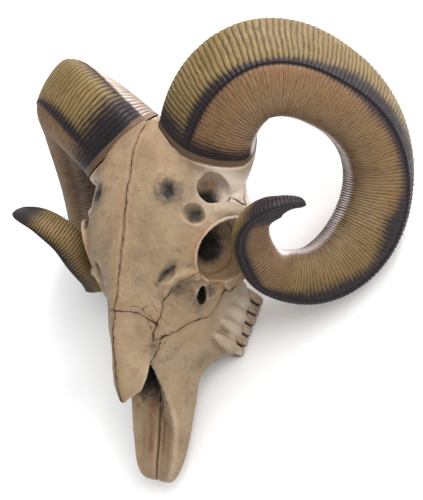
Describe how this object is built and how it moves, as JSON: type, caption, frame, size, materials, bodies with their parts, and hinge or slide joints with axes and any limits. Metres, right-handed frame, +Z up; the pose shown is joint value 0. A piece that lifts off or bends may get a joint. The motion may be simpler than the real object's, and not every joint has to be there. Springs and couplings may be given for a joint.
{
  "type": "ram skull replica",
  "caption": "Life-size cast replica of a ram's skull with two ribbed, tightly curled horns, the bones divided along their seams, lying as it rests on a flat surface.",
  "frame": {"origin": "the point of the floor under the middle of the model's outline box", "axes": "+X to the skull's own left side, +Y from the snout to the back of the head, +Z up from the floor it lies on"},
  "size_m": [0.3586, 0.3254, 0.1653],
  "materials": {
    "braincase": "satin bone-coloured paint over cast resin",
    "frontal_left": "satin bone-coloured paint over cast resin",
    "frontal_right": "satin bone-coloured paint over cast resin",
    "nasal_left": "satin bone-coloured paint over cast resin",
    "nasal_right": "satin bone-coloured paint over cast resin",
    "zygomatic_left": "satin bone-coloured paint over cast resin",
    "zygomatic_right": "satin bone-coloured paint over cast resin",
    "upper_jaw_left": "satin bone-coloured paint over cast resin",
    "upper_jaw_right": "satin bone-coloured paint over cast resin",
    "horn_left": "satin olive-brown paint over cast resin, darker along the keels",
    "horn_right": "satin olive-brown paint over cast resin, darker along the keels"
  },
  "bodies": {
    "root": {"braincase": "braincase", "frontal_left": "frontal_left", "frontal_right": "frontal_right", "nasal_left": "nasal_left", "nasal_right": "nasal_right", "zygomatic_left": "zygomatic_left", "zygomatic_right": "zygomatic_right", "upper_jaw_left": "upper_jaw_left", "upper_jaw_right": "upper_jaw_right", "horn_left": "horn_left", "horn_right": "horn_right"}
  },
  "joints": []
}
